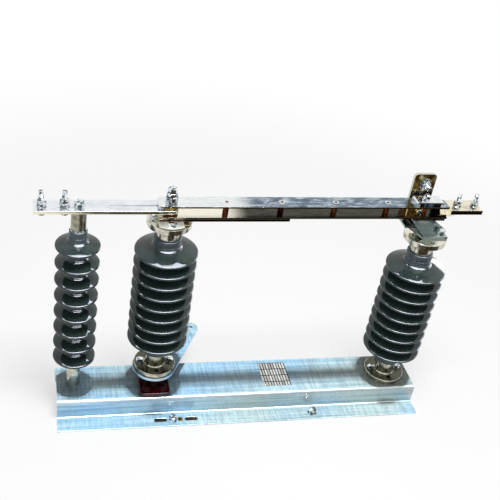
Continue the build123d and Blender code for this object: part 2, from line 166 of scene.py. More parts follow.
def turnedSteel(name, light, dark, face, roughness):
    # Turned steel, then galvanised: lathe lines, bright rims, and a painted tone on the flange's flat face, painted
    # reflection and light.
    # The real lathe lines are less than 1 mm apart and are drawn coarser, so that they show.
    sizes = {"latheLine": 5.6549 * mm, "stain": 16 * mm}
    waveAtScaleOne = math.pi / 10  # the length of one wave where the wave texture's scale is 1
    material, tree, place = newMaterial(name)
    stain = addNode(tree, "ShaderNodeTexNoise", {"Scale": 1 / sizes["stain"], "Detail": 5.0, "Roughness": 0.62},
                    {"Vector": place})
    tone = addNode(tree, "ShaderNodeValToRGB", {"stops": [(0.34, dark), (0.62, light)]}, {"Fac": stain})
    lines = addNode(tree, "ShaderNodeTexWave",
                    {"wave_type": "BANDS", "bands_direction": "Z", "Scale": waveAtScaleOne / sizes["latheLine"],
                     "Distortion": 0.4, "Detail": 2.0}, {"Vector": place})
    # painted reflection and light: the flat face takes the face colour instead of the metal's own tone
    paintedFaceTone = addNode(tree, "ShaderNodeMix", {"data_type": "RGBA", 7: face},
                       {0: facingShare(tree, "Z", start=0.8, end=0.97), 6: tone})
    polish = addNode(tree, "ShaderNodeMapRange", {"To Min": roughness - 0.06, "To Max": roughness + 0.1},
                     {"Value": stain})
    grain = addNode(tree, "ShaderNodeBump", {"Strength": 0.35, "Distance": 0.03 * mm},
                    {"Height": lines.outputs["Fac"]})
    shader = addNode(tree, "ShaderNodeBsdfPrincipled", {"Metallic": 1.0},
                     {"Base Color": paintedFaceTone, "Roughness": polish, "Normal": grain})
    addNode(tree, "ShaderNodeOutputMaterial", {}, {"Surface": shader})
    return material


def siliconeRubber(name, light, dark, roughness):
    # Moulded silicone rubber: green-black, with an oily gloss that mirrors bright things sharply
    sizes = {"bloom": 34 * mm, "dust": 1.6 * mm}
    material, tree, place = newMaterial(name)
    bloom = addNode(tree, "ShaderNodeTexNoise", {"Scale": 1 / sizes["bloom"], "Detail": 4.0, "Roughness": 0.55},
                    {"Vector": place})
    dust = addNode(tree, "ShaderNodeTexNoise", {"Scale": 1 / sizes["dust"], "Detail": 2.0}, {"Vector": place})
    tone = addNode(tree, "ShaderNodeValToRGB", {"stops": [(0.3, dark), (0.7, light)]}, {"Fac": bloom})
    polish = addNode(tree, "ShaderNodeMapRange", {"To Min": roughness * 0.8, "To Max": roughness * 1.3},
                     {"Value": bloom})
    grain = addNode(tree, "ShaderNodeBump", {"Strength": 0.03, "Distance": 0.02 * mm}, {"Height": dust})
    shader = addNode(tree, "ShaderNodeBsdfPrincipled", {"IOR": 1.43},
                     {"Base Color": tone, "Roughness": polish, "Normal": grain})
    addNode(tree, "ShaderNodeOutputMaterial", {}, {"Surface": shader})
    return material


def platedBar(name, light, dark, edge, roughness):
    # Tin-plated copper bar: white and mirror-like on its flats; its sawn edges take a tone of their own, a painted
    # reflection
    sizes = {"line": (180 * mm, 2.2 * mm, 2.2 * mm), "prints": 26 * mm}
    material, tree, place = newMaterial(name)
    drawn = addNode(tree, "ShaderNodeMapping", {"Scale": [1 / s for s in sizes["line"]]}, {"Vector": place})
    lines = addNode(tree, "ShaderNodeTexNoise", {"Scale": 1.0, "Detail": 3.0}, {"Vector": drawn})
    prints = addNode(tree, "ShaderNodeTexNoise", {"Scale": 1 / sizes["prints"], "Detail": 5.0, "Roughness": 0.6},
                     {"Vector": place})
    flat = addNode(tree, "ShaderNodeValToRGB", {"stops": [(0.3, dark), (0.6, light)]}, {"Fac": prints})
    # painted reflection: the faces along Y take the edge tone
    tone = addNode(tree, "ShaderNodeMix", {"data_type": "RGBA", 7: edge}, {0: facingShare(tree, "Y"), 6: flat})
    polish = addNode(tree, "ShaderNodeMapRange", {"From Min": 0.3, "From Max": 0.7, "To Min": roughness,
                                                  "To Max": roughness + 0.12}, {"Value": prints})
    grain = addNode(tree, "ShaderNodeBump", {"Strength": 0.2, "Distance": 0.02 * mm}, {"Height": lines})
    shader = addNode(tree, "ShaderNodeBsdfPrincipled", {"Metallic": 1.0},
                     {"Base Color": tone, "Roughness": polish, "Normal": grain})
    addNode(tree, "ShaderNodeOutputMaterial", {}, {"Surface": shader})
    return material


def bladeStrap(name, side):
    # Silver-plated copper strap with painted reflections, dark on its edges. Outside it is white near the hinge and
    # clouded blue-grey further out. Between the straps it is cream near the hinge, then dark brown: painted
    # reflection and shade.
    sizes = {"cloud": (34 * mm, 8 * mm, 8 * mm), "grain": 3 * mm}
    # painted reflections: the near and far tones on the flats
    face = {"outside": {"near": [(0.3, "#d9dedf"), (0.6, "#eef2f3")],
                        "far": [(0.38, "#51606f"), (0.52, "#8292a0"), (0.66, "#cbd6dd")],
                        "from": -0.09, "to": -0.03},
            "inside": {"near": [(0.3, "#ece6d0"), (0.6, "#f5f1e2")],
                       "far": [(0.35, "#24231d"), (0.65, "#4a473a")],
                       "from": -0.112, "to": -0.05}}[side]
    material, tree, place = newMaterial(name)
    drawn = addNode(tree, "ShaderNodeMapping", {"Scale": [1 / s for s in sizes["cloud"]]}, {"Vector": place})
    clouds = addNode(tree, "ShaderNodeTexNoise", {"Scale": 1.0, "Detail": 5.0, "Roughness": 0.62,
                                                  "Distortion": 1.1}, {"Vector": drawn})
    near = addNode(tree, "ShaderNodeValToRGB", {"stops": face["near"]}, {"Fac": clouds})
    far = addNode(tree, "ShaderNodeValToRGB", {"stops": face["far"]}, {"Fac": clouds})
    flat = addNode(tree, "ShaderNodeMix", {"data_type": "RGBA"},
                   {0: alongX(tree, place, face["from"], face["to"]), 6: near, 7: far})
    # painted reflection: the faces along Y take a dark tone
    tone = addNode(tree, "ShaderNodeMix", {"data_type": "RGBA", 7: "#7b6f5d"},
                   {0: facingShare(tree, "Y"), 6: flat})
    polish = addNode(tree, "ShaderNodeMapRange", {"From Min": 0.3, "From Max": 0.7, "To Min": 0.1, "To Max": 0.2},
                     {"Value": clouds})
    fine = addNode(tree, "ShaderNodeTexNoise", {"Scale": 1 / sizes["grain"], "Detail": 2.0}, {"Vector": place})
    grain = addNode(tree, "ShaderNodeBump", {"Strength": 0.15, "Distance": 0.02 * mm}, {"Height": fine})
    shader = addNode(tree, "ShaderNodeBsdfPrincipled", {"Metallic": 1.0},
                     {"Base Color": tone, "Roughness": polish, "Normal": grain})
    addNode(tree, "ShaderNodeOutputMaterial", {}, {"Surface": shader})
    return material


def redEnamel():
    # Alkyd enamel brushed on cast iron: deep wine red, wet gloss over a slightly pebbled casting
    sizes = {"pebble": 6 * mm, "patch": 24 * mm}
    material, tree, place = newMaterial("redEnamelOnCastIron")
    pebble = addNode(tree, "ShaderNodeTexNoise", {"Scale": 1 / sizes["pebble"], "Detail": 3.0}, {"Vector": place})
    patch = addNode(tree, "ShaderNodeTexNoise", {"Scale": 1 / sizes["patch"], "Detail": 3.0}, {"Vector": place})
    tone = addNode(tree, "ShaderNodeValToRGB", {"stops": [(0.35, "#150003"), (0.65, "#3a020b")]}, {"Fac": patch})
    polish = addNode(tree, "ShaderNodeMapRange", {"To Min": 0.1, "To Max": 0.22}, {"Value": patch})
    grain = addNode(tree, "ShaderNodeBump", {"Strength": 0.22, "Distance": 0.25 * mm}, {"Height": pebble})
    shader = addNode(tree, "ShaderNodeBsdfPrincipled", {"IOR": 1.5},
                     {"Base Color": tone, "Roughness": polish, "Normal": grain})
    addNode(tree, "ShaderNodeOutputMaterial", {}, {"Surface": shader})
    return material


def yellowZinc():
    # Yellow-passivated zinc on steel plate: golden-brown film with oily patches, paler on the sawn sides
    sizes = {"patch": (19 * mm, 19 * mm, 45.6 * mm), "grain": 2.5 * mm}
    material, tree, place = newMaterial("yellowPassivatedZinc")
    drawn = addNode(tree, "ShaderNodeMapping", {"Scale": [1 / s for s in sizes["patch"]]}, {"Vector": place})
    patch = addNode(tree, "ShaderNodeTexNoise", {"Scale": 1.0, "Detail": 4.0, "Roughness": 0.55,
                                                 "Distortion": 0.8}, {"Vector": drawn})
    film = addNode(tree, "ShaderNodeValToRGB",
                   {"stops": [(0.36, "#54421f"), (0.48, "#8c7038"), (0.55, "#c2b184"), (0.64, "#e8e4d2")]},
                   {"Fac": patch})
    tone = addNode(tree, "ShaderNodeMix", {"data_type": "RGBA", 6: "#cfcfc0"},
                   {0: facingShare(tree, "Y"), 7: film})
    polish = addNode(tree, "ShaderNodeMapRange", {"To Min": 0.12, "To Max": 0.28}, {"Value": patch})
    fine = addNode(tree, "ShaderNodeTexNoise", {"Scale": 1 / sizes["grain"], "Detail": 2.0}, {"Vector": place})
    grain = addNode(tree, "ShaderNodeBump", {"Strength": 0.2, "Distance": 0.03 * mm}, {"Height": fine})
    shader = addNode(tree, "ShaderNodeBsdfPrincipled", {"Metallic": 1.0},
                     {"Base Color": tone, "Roughness": polish, "Normal": grain})
    addNode(tree, "ShaderNodeOutputMaterial", {}, {"Surface": shader})
    return material


def bareCopper():
    # Bare copper tube: browned by the air near the hinge, redder where it was cleaned towards the contact
    sizes = {"patch": 7 * mm}
    clean = {"from": 0.05, "to": 0.17}
    material, tree, place = newMaterial("bareCopper")
    patch = addNode(tree, "ShaderNodeTexNoise", {"Scale": 1 / sizes["patch"], "Detail": 4.0}, {"Vector": place})
    brown = addNode(tree, "ShaderNodeValToRGB", {"stops": [(0.35, "#2a1710"), (0.65, "#5c3322")]}, {"Fac": patch})
    red = addNode(tree, "ShaderNodeValToRGB", {"stops": [(0.35, "#7c3418"), (0.65, "#c07244")]}, {"Fac": patch})
    tone = addNode(tree, "ShaderNodeMix", {"data_type": "RGBA"},
                   {0: alongX(tree, place, clean["from"], clean["to"]), 6: brown, 7: red})
    polish = addNode(tree, "ShaderNodeMapRange", {"To Min": 0.22, "To Max": 0.38}, {"Value": patch})
    shader = addNode(tree, "ShaderNodeBsdfPrincipled", {"Metallic": 1.0}, {"Base Color": tone, "Roughness": polish})
    addNode(tree, "ShaderNodeOutputMaterial", {}, {"Surface": shader})
    return material


def ratingPlate():
    # Etched aluminium plate: brushed, with blank ruled fields; the rules are drawn coarser than real so they show
    sizes = {"field": 7.5 * mm, "row": 24 * mm, "rule": 1.3 * mm, "brush": (40 * mm, 0.8 * mm, 0.8 * mm)}
    material, tree, place = newMaterial("etchedAluminiumPlate")
    fields = addNode(tree, "ShaderNodeTexBrick",
                     {"offset": 0.0, "Color1": "#eceeeb", "Color2": "#a9aba6", "Mortar": "#20201d", "Scale": 1.0,
                      "Mortar Size": sizes["rule"], "Mortar Smooth": 0.1, "Bias": 0.0,
                      "Brick Width": sizes["field"], "Row Height": sizes["row"]}, {"Vector": place})
    drawn = addNode(tree, "ShaderNodeMapping", {"Scale": [1 / s for s in sizes["brush"]]}, {"Vector": place})
    brushed = addNode(tree, "ShaderNodeTexNoise", {"Scale": 1.0, "Detail": 3.0}, {"Vector": drawn})
    polish = addNode(tree, "ShaderNodeMapRange", {"To Min": 0.18, "To Max": 0.42}, {"Value": brushed})
    shader = addNode(tree, "ShaderNodeBsdfPrincipled", {"Metallic": 1.0},
                     {"Base Color": fields, "Roughness": polish})
    addNode(tree, "ShaderNodeOutputMaterial", {}, {"Surface": shader})
    return material


def smallMetal(name, light, dark, roughness, patchSize):
    # Plated or bare small metal parts: light and dull patches, handling marks
    material, tree, place = newMaterial(name)
    patch = addNode(tree, "ShaderNodeTexNoise", {"Scale": 1 / patchSize, "Detail": 1.5, "Roughness": 0.5},
                    {"Vector": place})
    tone = addNode(tree, "ShaderNodeValToRGB", {"stops": [(0.4, dark), (0.56, light)]}, {"Fac": patch})
    polish = addNode(tree, "ShaderNodeMapRange", {"To Min": roughness - 0.04, "To Max": roughness + 0.08},
                     {"Value": patch})
    grain = addNode(tree, "ShaderNodeBump", {"Strength": 0.15, "Distance": 0.03 * mm}, {"Height": patch})
    shader = addNode(tree, "ShaderNodeBsdfPrincipled", {"Metallic": 1.0},
                     {"Base Color": tone, "Roughness": polish, "Normal": grain})
    addNode(tree, "ShaderNodeOutputMaterial", {}, {"Surface": shader})
    return material


finish = {
    # the sheet's level faces are painted darker, painted shade that the sun lamp lifts where it falls; the folded
    # plate's level faces are painted lighter and its other faces darker, painted light and shade
    "sheet": galvanisedSheet("hotDipGalvanisedSheet", ("#d3e3ed", "#ced9de", "#cbd1ce"),
                             ("#748690", "#7c888a", "#858b86"), 0.3, 0.66),
    "fold": galvanisedSheet("foldedGalvanisedPlate", ("#8d9794", "#a9b3b1", "#d2d8d6"),
                            ("#bfc4bb", "#cdd3cd", "#dde3df"), 0.14, 0.14),
    # the last colour is each flange's flat face, painted: dark on the feet, a painted reflection of the sheds
    # above; pale on the heads, painted light
    "foot": turnedSteel("galvanisedFootForging", "#d9d5c4", "#7c7766", "#57584d", 0.14),
    "head": turnedSteel("galvanisedHeadForging", "#e6e3d6", "#8f8a78", "#e6e2d2", 0.16),
    "rodFitting": turnedSteel("dullGalvanisedForging", "#a9a896", "#6b6858", "#8c8a7c", 0.26),
    "rubber": siliconeRubber("mouldedSiliconeRubber", "#33423f", "#273334", 0.06),
    # the sleeve is the same rubber as the sheds painted lighter, painted light, and rougher
    "sleeve": siliconeRubber("siliconeSleevePaintedLighter", "#46545a", "#36434a", 0.36),
    # the last colour of each bar is the painted reflection on its sides along Y: cream on the tin bar, dark on the
    # drive plate and pad
    "tin": platedBar("tinPlatedCopper", "#eef1f4", "#dadfe4", "#efe8d2", 0.1),
    "tinGreen": platedBar("tinPlatedDrivePlate", "#f2f6f0", "#dce3da", "#8a8672", 0.42),
    "tinDull": platedBar("tinPlatedCopperPad", "#f4eed9", "#d8d2bd", "#3d2c25", 0.12),
    # both straps carry painted reflections and, between them, painted shade
    "strap": bladeStrap("silverStrapPaintedReflection", "outside"),
    "innerStrap": bladeStrap("silverStrapInsidePaintedReflection", "inside"),
    "copper": bareCopper(),
    "rivet": smallMetal("brownedCopperRivet", "#8a3f2c", "#5d2418", 0.24, 3 * mm),
    "brass": smallMetal("bareBrass", "#cfae68", "#8d7137", 0.16, 8 * mm),
    "contact": smallMetal("silverPlatedContact", "#f3ecd0", "#cfc6a4", 0.14, 10 * mm),
    "red": redEnamel(),
    "zinc": smallMetal("brightZincPlatedSteel", "#eef3f5", "#69747a", 0.1, 7 * mm),
    "spring": smallMetal("phosphatedSpringSteel", "#6f7476", "#33383a", 0.2, 5 * mm),
    "yellow": yellowZinc(),
    "plate": ratingPlate(),
}
print("materials made:", len(finish))


# The CAD nodes get their finish here; the number rounds a node's edges by that many millimetres

rounding = {"weld": 0.002, "segments": 2, "fromAngle": 40}
dressing = {
    "base_channel": ("sheet", 0.5),
    "rating_plate": ("plate", 0.2),
    "left_post_foot": ("head", 0.8),
    "left_post_cap": ("rodFitting", 0.8),
    "left_terminal_bar": ("tin", 0.7),
    "bearing_housing": ("red", 0.0),
    "rotor_post_foot": ("foot", 0.0),
    "rotor_post_head": ("head", 0.0),
    "contact_post_foot": ("foot", 0.0),
    "contact_post_head": ("head", 0.0),
    "contact_bracket": ("fold", 0.6),
    "stop_plate": ("yellow", 0.8),
    "contact_block": ("contact", 0.8),
    "right_terminal_pad": ("tinDull", 1.0),
    "rotor_shaft": ("zinc", 0.0),
    "crank_lever": ("sheet", 0.6),
    "drive_plate": ("tinGreen", 0.6),
    "drive_bar": ("tinDull", 0.8),
    "lower_blade_strap": ("innerStrap", 0.9),
    "upper_blade_strap": ("strap", 0.9),
    **{f"blade_spacer_{k}": ("copper", 0.0) for k in range(1, 5)},
    "contact_spacer": ("copper", 0.0),
    "blade_end_block": ("brass", 0.5),
    "hinge_bolt": ("zinc", 0.5),
    "lower_hinge_ring": ("copper", 0.4),
    "upper_hinge_ring": ("brass", 0.4),
    "hinge_washer": ("zinc", 0.4),
    "hinge_nut": ("zinc", 0.7),
    "upper_pressure_plate": ("tin", 0.6),
    "lower_pressure_plate": ("spring", 0.6),
}
for name, (material, edge) in dressing.items():
    piece = nodes[name]
    piece.data.materials.clear()
    piece.data.materials.append(finish[material])
    for face in piece.data.polygons:
        face.material_index = 0
    if edge:
        weld = piece.modifiers.new("weld", "WELD")
        weld.merge_threshold = rounding["weld"] * mm
        bevel = piece.modifiers.new("edge", "BEVEL")
        bevel.width = edge * mm
        bevel.segments = rounding["segments"]
        bevel.limit_method = "ANGLE"
        bevel.angle_limit = math.radians(rounding["fromAngle"])
        piece.modifiers.new("shade", "WEIGHTED_NORMAL")
print("CAD nodes dressed:", len(dressing))


# Shapes that several pieces share, all in millimetres

def addPoint(mesh, radius, turn, height, move):
    # a point at the given radius and height, that share of a full turn about Z
    angle = 2 * math.pi * turn
    x, y = radius * mm * math.cos(angle), radius * mm * math.sin(angle)
    return mesh.verts.new(move @ Vector((x, y, height * mm)))


def joinRings(mesh, rings, steps):
    # faces from each ring of points to the next; a ring of one point closes the end
    for lower, upper in zip(rings, rings[1:]):
        for i in range(steps):
            j = (i + 1) % steps
            corners = [lower[i % len(lower)], lower[j % len(lower)], upper[j % len(upper)], upper[i % len(upper)]]
            kept = [v for k, v in enumerate(corners) if v not in corners[:k]]
            if len(kept) > 2:
                mesh.faces.new(kept)


def addTurned(mesh, outline, steps, move):
    # outline is (radius, height) from the lower end to the upper one, turned about Z
    rings = [[addPoint(mesh, radius, i / steps, height, move) for i in range(steps if radius else 1)]
             for radius, height in outline]
    joinRings(mesh, rings, steps)


def addHexagon(mesh, acrossFlats, low, high, move, bothEnds=False):
    # bolt head or nut: six flats with the corners turned off at the upper end, and at the lower end of a nut
    size = {"steps": 48, "turned": acrossFlats * 0.48, "slope": math.tan(math.radians(28))}
    turns = [i / size["steps"] for i in range(size["steps"])]
    sides = []  # the radius at each turn
    for turn in turns:
        fromFlat = (2 * math.pi * turn + math.pi / 6) % (math.pi / 3) - math.pi / 6
        sides.append(acrossFlats / 2 / math.cos(fromFlat))
    cut = [size["slope"] * (radius - size["turned"]) for radius in sides]
    rings = [[addPoint(mesh, size["turned"], turn, low, move) for turn in turns],
             [addPoint(mesh, radius, turn, low + (drop if bothEnds else 0), move)
              for radius, turn, drop in zip(sides, turns, cut)],
             [addPoint(mesh, radius, turn, high - drop, move) for radius, turn, drop in zip(sides, turns, cut)],
             [addPoint(mesh, size["turned"], turn, high, move) for turn in turns]]
    mesh.faces.new(reversed(rings[0]))
    mesh.faces.new(rings[-1])
    joinRings(mesh, rings, size["steps"])


def addThread(mesh, diameter, pitch, low, high, move):
    # screw thread as one helical groove, with a short chamfer at the free end
    size = {"steps": 24, "rowsPerTurn": 5, "depth": 0.54 * pitch, "chamfer": 0.6, "slope": 0.8}
    rows = max(4, int((high - low) / pitch * size["rowsPerTurn"]))
    rings = []
    for row in range(rows + 1):
        height = low + (high - low) * row / rows
        chamfered = diameter / 2 - size["chamfer"] * size["depth"] + size["slope"] * (high - height)
        ring = []
        for i in range(size["steps"]):
            turn = i / size["steps"]
            phase = (height / pitch - turn) % 1
            radius = min(diameter / 2 - size["depth"] * abs(2 * phase - 1), chamfered)
            ring.append(addPoint(mesh, radius, turn, height, move))
        rings.append(ring)
    mesh.faces.new(reversed(rings[0]))
    mesh.faces.new(rings[-1])
    joinRings(mesh, rings, size["steps"])


def finishPiece(name, mesh, material, body, sharp=32):
    # makes the mesh a piece that moves with its body; edges of more than sharp degrees stay crisp
    bmesh.ops.recalc_face_normals(mesh, faces=mesh.faces)
    piece = sceneMesh(name, mesh, finish[material])
    piece.data.polygons.foreach_set("use_smooth", [True] * len(piece.data.polygons))
    piece.data.set_sharp_from_angle(angle=math.radians(sharp))
    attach(piece, body)
    return piece


def facing(x, y, z, tilt=0, spin=0):
    # a place, with turns in degrees: tilt turns +Z towards the front at 90 and down at 180, spin turns about
    # the axis
    turn = Matrix.Rotation(math.radians(tilt), 4, "X") @ Matrix.Rotation(math.radians(spin), 4, "Z")
    return Matrix.Translation((x * mm, y * mm, z * mm)) @ turn


def arc(centreR, centreZ, radius, start, end, count):
    # points on a circular arc in the outline's plane, angles in degrees from the outward direction
    angles = [math.radians(start + (end - start) * k / count) for k in range(count + 1)]
    return [(centreR + radius * math.cos(angle), centreZ + radius * math.sin(angle)) for angle in angles]


def heights(name):
    # the lower and upper end of a CAD node
    return [corner.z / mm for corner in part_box(name)]


# Rubber bodies with their sheds, turned about the post.
# Under, flare and the ends are measured outwards from the core, the dome from the axis, all as (out, up).

bigSheds = {"core": 32.5, "count": 9, "first": 96.0, "pitch": 32.3, "radius": 75.0, "lowerRound": 1.5,
            "upperRound": 3.0, "upperRoundAt": 3.0, "steps": 144,
            "under": [(0.0, 3.4), (0.5, 5.8), (1.9, 7.4), (4.4, 8.0), (7.8, 7.5), (27.5, 3.3), (37.5, 1.2)],
            "dome": [(69.5, 7.2), (64.0, 9.3), (58.0, 11.4), (51.0, 13.7), (44.0, 15.6), (38.4, 16.7)],
            "flare": [(4.6, 17.0), (4.4, 18.0), (3.4, 18.9), (1.7, 19.9), (0.6, 21.6), (0.0, 24.0)]}
rodSheds = {"core": 21.0, "count": 8, "first": 97.0, "pitch": 47.2, "radius": 52.0, "lowerRound": 2.2,
            "upperRound": 3.2, "upperRoundAt": 3.4, "steps": 128,
            "under": [(0.0, 0.4), (0.5, 2.6), (1.7, 4.0), (3.8, 4.5), (6.8, 4.2), (18.0, 2.2), (24.0, 1.1)],
            "dome": [(45.5, 8.1), (41.5, 9.6), (36.5, 11.4), (31.0, 13.1), (26.2, 14.4)],
            "flare": [(3.8, 15.2), (3.6, 16.2), (2.6, 16.9), (1.2, 18.0), (0.4, 19.6), (0.0, 22.0)]}
rubberEnds = {"lower": [(-1.5, 0.0), (-0.4, 0.4), (0.0, 1.5)],
              "upper": [(0.0, -18.0), (-0.9, -17.4), (-0.9, -16.6), (0.0, -16.0), (0.0, -2.5), (-0.8, -0.7),
                        (-2.5, 0.0)]}
rimArcs = {"lower": (-97, 0, 4), "upper": (8, 69, 6)}  # start and end in degrees, and the number of steps
sleeveReach = 0.7  # faces this near to the core belong to the sleeve


def shedOutline(sizes, bottom, top, footOfPost):
    core = sizes["core"]
    outline = [(0, bottom)] + [(core + out, bottom + rise) for out, rise in rubberEnds["lower"]]
    for i in range(sizes["count"]):
        low = footOfPost + sizes["first"] + i * sizes["pitch"]
        outline += [(core + out, low + rise) for out, rise in sizes["under"]]
        outline += arc(sizes["radius"] - sizes["lowerRound"], low + sizes["lowerRound"], sizes["lowerRound"],
                       *rimArcs["lower"])
        outline += arc(sizes["radius"] - sizes["upperRound"], low + sizes["upperRoundAt"], sizes["upperRound"],
                       *rimArcs["upper"])
        outline += [(radius, low + rise) for radius, rise in sizes["dome"]]
        outline += [(core + out, low + rise) for out, rise in sizes["flare"]]
    return outline + [(core + out, top + rise) for out, rise in rubberEnds["upper"]] + [(0, top)]


def shedPiece(name, sizes, footOfPost, body):
    low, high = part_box(name)
    centre = (low + high) / 2
    mesh = bmesh.new()
    addTurned(mesh, shedOutline(sizes, low.z / mm, high.z / mm, footOfPost), sizes["steps"],
              Matrix.Translation((centre.x, centre.y, 0)))
    piece = finishPiece(name + "_moulded", mesh, "rubber", body, sharp=50)
    # the sleeve's material is painted lighter than the sheds, painted light on the same rubber
    piece.data.materials.append(finish["sleeve"])  # between the sheds, duller than their faces
    for face in piece.data.polygons:
        place = face.center
        if math.hypot(place.x - centre.x, place.y - centre.y) < (sizes["core"] + sleeveReach) * mm:
            face.material_index = 1
    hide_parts(name)
    return piece


webTop = heights("bearing_housing")[0]
contactFootLow = heights("contact_post_foot")[0]
rotorFootLow = heights("rotor_post_foot")[0]
shedPieces = [
    shedPiece("left_post_sheds", rodSheds, webTop, "frame"),
    shedPiece("rotor_post_sheds", bigSheds, rotorFootLow, "rotor"),
    shedPiece("contact_post_sheds", bigSheds, contactFootLow, "frame"),
]
print("rubber bodies made:", len(shedPieces))


# Bolts, nuts, studs and rivets, in millimetres; the spins keep their flats from lining up

leftX, hingeX, contactX = -438.0, -233.0, 410.0  # the three posts
plates = {"flange": 3.0, "foot": 12.0, "head": 14.0, "web": 3.0, "bracket": 6.0, "drivePlate": 5.0}  # thicknesses
boltCircle = 38.0
fixingBolts = {"x": 188, "y": 92, "leftSpin": 8, "rightSpin": 22}
housingBolts = [(-21, -43), (-21, 43), (21, -43), (21, 43)]  # from the hinge's axis
terminals = {"left": (-520, -470), "leftStudTop": 628, "right": (468, 513), "rightStudTop": 625}

m12 = {"hole": 12.4, "washer": 24, "washerThick": 2.5, "spring": 20, "springThick": 2.6, "flats": 19, "head": 7.5,
       "nut": 10, "thread": 12, "pitch": 1.75}
m12Bare = dict(m12, washer=0)
m10 = {"hole": 10.4, "washer": 20, "washerThick": 2.0, "spring": 16, "springThick": 2.2, "flats": 16, "head": 6.4,
       "nut": 8, "thread": 10, "pitch": 1.5}
gap = {"underSpring": 0.2, "overSpring": 0.1, "underThread": 0.2}


def addRing(mesh, inner, outer, low, thick, move):
    edge = min(0.5, thick / 3)
    addTurned(mesh, [(inner, low), (outer - edge, low), (outer, low + edge), (outer, low + thick - edge),
                     (outer - edge, low + thick), (inner, low + thick), (inner, low)], steps=40, move=move)


def addWashers(mesh, size, move):
    # flat washer and spring washer; gives the height at which the head or nut starts
    if not size["washer"]:
        return 0
    addRing(mesh, size["hole"] / 2, size["washer"] / 2, 0, size["washerThick"], move)
    springLow = size["washerThick"] + gap["underSpring"]
    addRing(mesh, size["hole"] / 2, size["spring"] / 2, springLow, size["springThick"], move)
    return springLow + size["springThick"] + gap["overSpring"]


def addBolt(mesh, size, move):
    base = addWashers(mesh, size, move)
    addHexagon(mesh, size["flats"], base, base + size["head"], move)


def addStud(mesh, size, top, move):
    # washers, nut and the threaded end above it
    base = addWashers(mesh, size, move)
    addHexagon(mesh, size["flats"], base, base + size["nut"], move, bothEnds=True)
    addThread(mesh, size["thread"], size["pitch"], gap["underThread"], top, move)


def addWasherAndNut(mesh, size, move, nutMove):
    # one flat washer with a nut on it, which may have a spin of its own
    addRing(mesh, size["hole"] / 2, size["washer"] / 2, 0, size["washerThick"], move)
    addHexagon(mesh, size["flats"], size["washerThick"], size["washerThick"] + size["nut"], nutMove,
               bothEnds=True)


def onCircle(x, z, sides):
    # places on a flange's bolt circle, with the spin that turns a flat towards the neck
    reach = {"right": (boltCircle, 0, 0), "left": (-boltCircle, 0, 0), "back": (0, boltCircle, 30),
             "front": (0, -boltCircle, 30)}
    return [(x + reach[side][0], reach[side][1], z, reach[side][2]) for side in sides]


def boltPiece(name, body, places, size, material="zinc", tilt=0):
    mesh = bmesh.new()
    for x, y, z, spin in places:
        addBolt(mesh, size, facing(x, y, z, tilt, spin))
    return finishPiece(name, mesh, material, body)


def studPiece(name, bar, places, top, size):
    # studs with a nut above the bar and a hex head under it
    barLow, barTop = heights(bar)
    mesh = bmesh.new()
    for k, x in enumerate(places):
        addStud(mesh, size, top - barTop, facing(x, 0, barTop, 0, 11 + 23 * k))
        addBolt(mesh, size, facing(x, 0, barLow, 180, 7 * k))
    return finishPiece(name, mesh, "zinc", "frame")


rotorTop = heights("rotor_post_head")[1]
contactTop = heights("contact_post_head")[1]
underWeb = webTop - plates["web"]

made = [
    boltPiece("base_fixing_bolts", "frame",
              [(x, y, plates["flange"], spin) for x, spin in ((-fixingBolts["x"], fixingBolts["leftSpin"]),
                                                             (fixingBolts["x"], fixingBolts["rightSpin"]))
               for y in (-fixingBolts["y"], fixingBolts["y"])], m12),
    boltPiece("housing_bolts", "frame", [(hingeX + x, y, webTop + plates["foot"], 20 + x) for x, y in housingBolts],
              m10, "red"),
    boltPiece("contact_foot_bolts", "frame",
              onCircle(contactX, contactFootLow + plates["foot"], ("right", "left", "back")), m12Bare),
    boltPiece("rotor_foot_bolts", "rotor",
              onCircle(hingeX, rotorFootLow + plates["foot"], ("right", "left", "back")), m12Bare),
    boltPiece("rotor_head_bolts", "rotor", onCircle(hingeX, rotorTop + plates["drivePlate"], ("front", "back"))
              + onCircle(hingeX, rotorTop, ("left",)), m12Bare),
    boltPiece("rotor_head_nuts", "rotor",
              onCircle(hingeX, rotorTop - plates["head"], ("front", "back", "left", "right")), m12Bare, tilt=180),
    boltPiece("bracket_bolts", "frame",
              onCircle(contactX, contactTop + plates["bracket"], ("right", "back")), m12Bare),
    boltPiece("contact_head_nuts", "frame",
              onCircle(contactX, contactTop - plates["head"], ("back", "right")), m12Bare, tilt=180),
    boltPiece("web_underside_nuts", "frame",
              onCircle(contactX, underWeb, ("right", "left", "back")) + [(leftX, 0, underWeb, 9)]
              + [(hingeX + x, y, underWeb, 12 + y) for x, y in housingBolts], m12, tilt=180),
    boltPiece("left_post_bolt", "frame", [(leftX, 0, heights("left_terminal_bar")[1], 15)], m12),
    studPiece("left_terminal_studs", "left_terminal_bar", terminals["left"], terminals["leftStudTop"], m12),
    studPiece("right_terminal_studs", "right_terminal_pad", terminals["right"], terminals["rightStudTop"], m10),
]


def crimpRings():
    # rolled steel rings that close the rubber onto the rod insulator's fittings
    size = {"inner": 17.5, "outer": 19.4, "high": 2.2}
    mesh = bmesh.new()
    for height in (heights("left_post_cap")[0], heights("left_post_foot")[1] - size["high"]):
        addRing(mesh, size["inner"], size["outer"], height, size["high"], facing(leftX, 0, 0))
    return finishPiece("left_post_crimp_rings", mesh, "zinc", "frame")


def earthEyelets():
    # brass rings round the earthing holes
    size = {"inner": 4.5, "outer": 7.5, "high": 1.0, "x": -168, "y": 92}
    mesh = bmesh.new()
    for y in (-size["y"], size["y"]):
        addRing(mesh, size["inner"], size["outer"], plates["flange"], size["high"], facing(size["x"], y, 0))
    return finishPiece("earth_eyelets", mesh, "brass", "frame")


